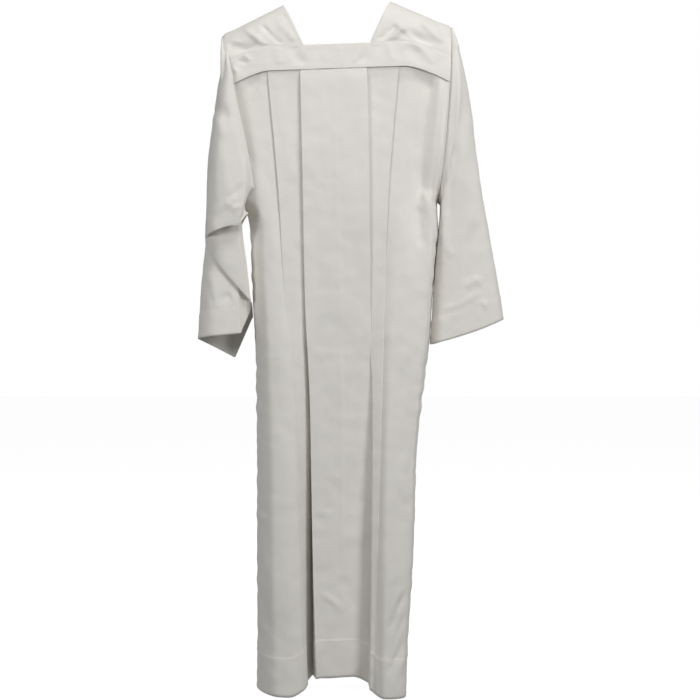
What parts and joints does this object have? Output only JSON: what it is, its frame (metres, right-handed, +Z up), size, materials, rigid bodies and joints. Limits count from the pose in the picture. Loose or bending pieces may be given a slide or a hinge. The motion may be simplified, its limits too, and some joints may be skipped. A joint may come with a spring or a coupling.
{
  "type": "alb robe",
  "caption": "Long white robe with a square neck, a straight chest band over pressed pleats and long straight sleeves, hanging hollow from its shoulders.",
  "frame": {"origin": "midway between the two shoulder lines, under the cloth, where the wearer's shoulders hold the robe up", "axes": "+Z up, the front faces -Y, the wearer's left sleeve is at +X"},
  "size_m": [0.6378, 0.1895, 1.4188],
  "materials": {
    "white_cloth": "matte"
  },
  "bodies": {
    "root": {"front_panel": "white_cloth", "back_panel": "white_cloth", "front_band": "white_cloth", "back_band": "white_cloth", "right_shoulder": "white_cloth", "left_shoulder": "white_cloth", "right_sleeve": "white_cloth", "left_sleeve": "white_cloth"}
  },
  "joints": []
}
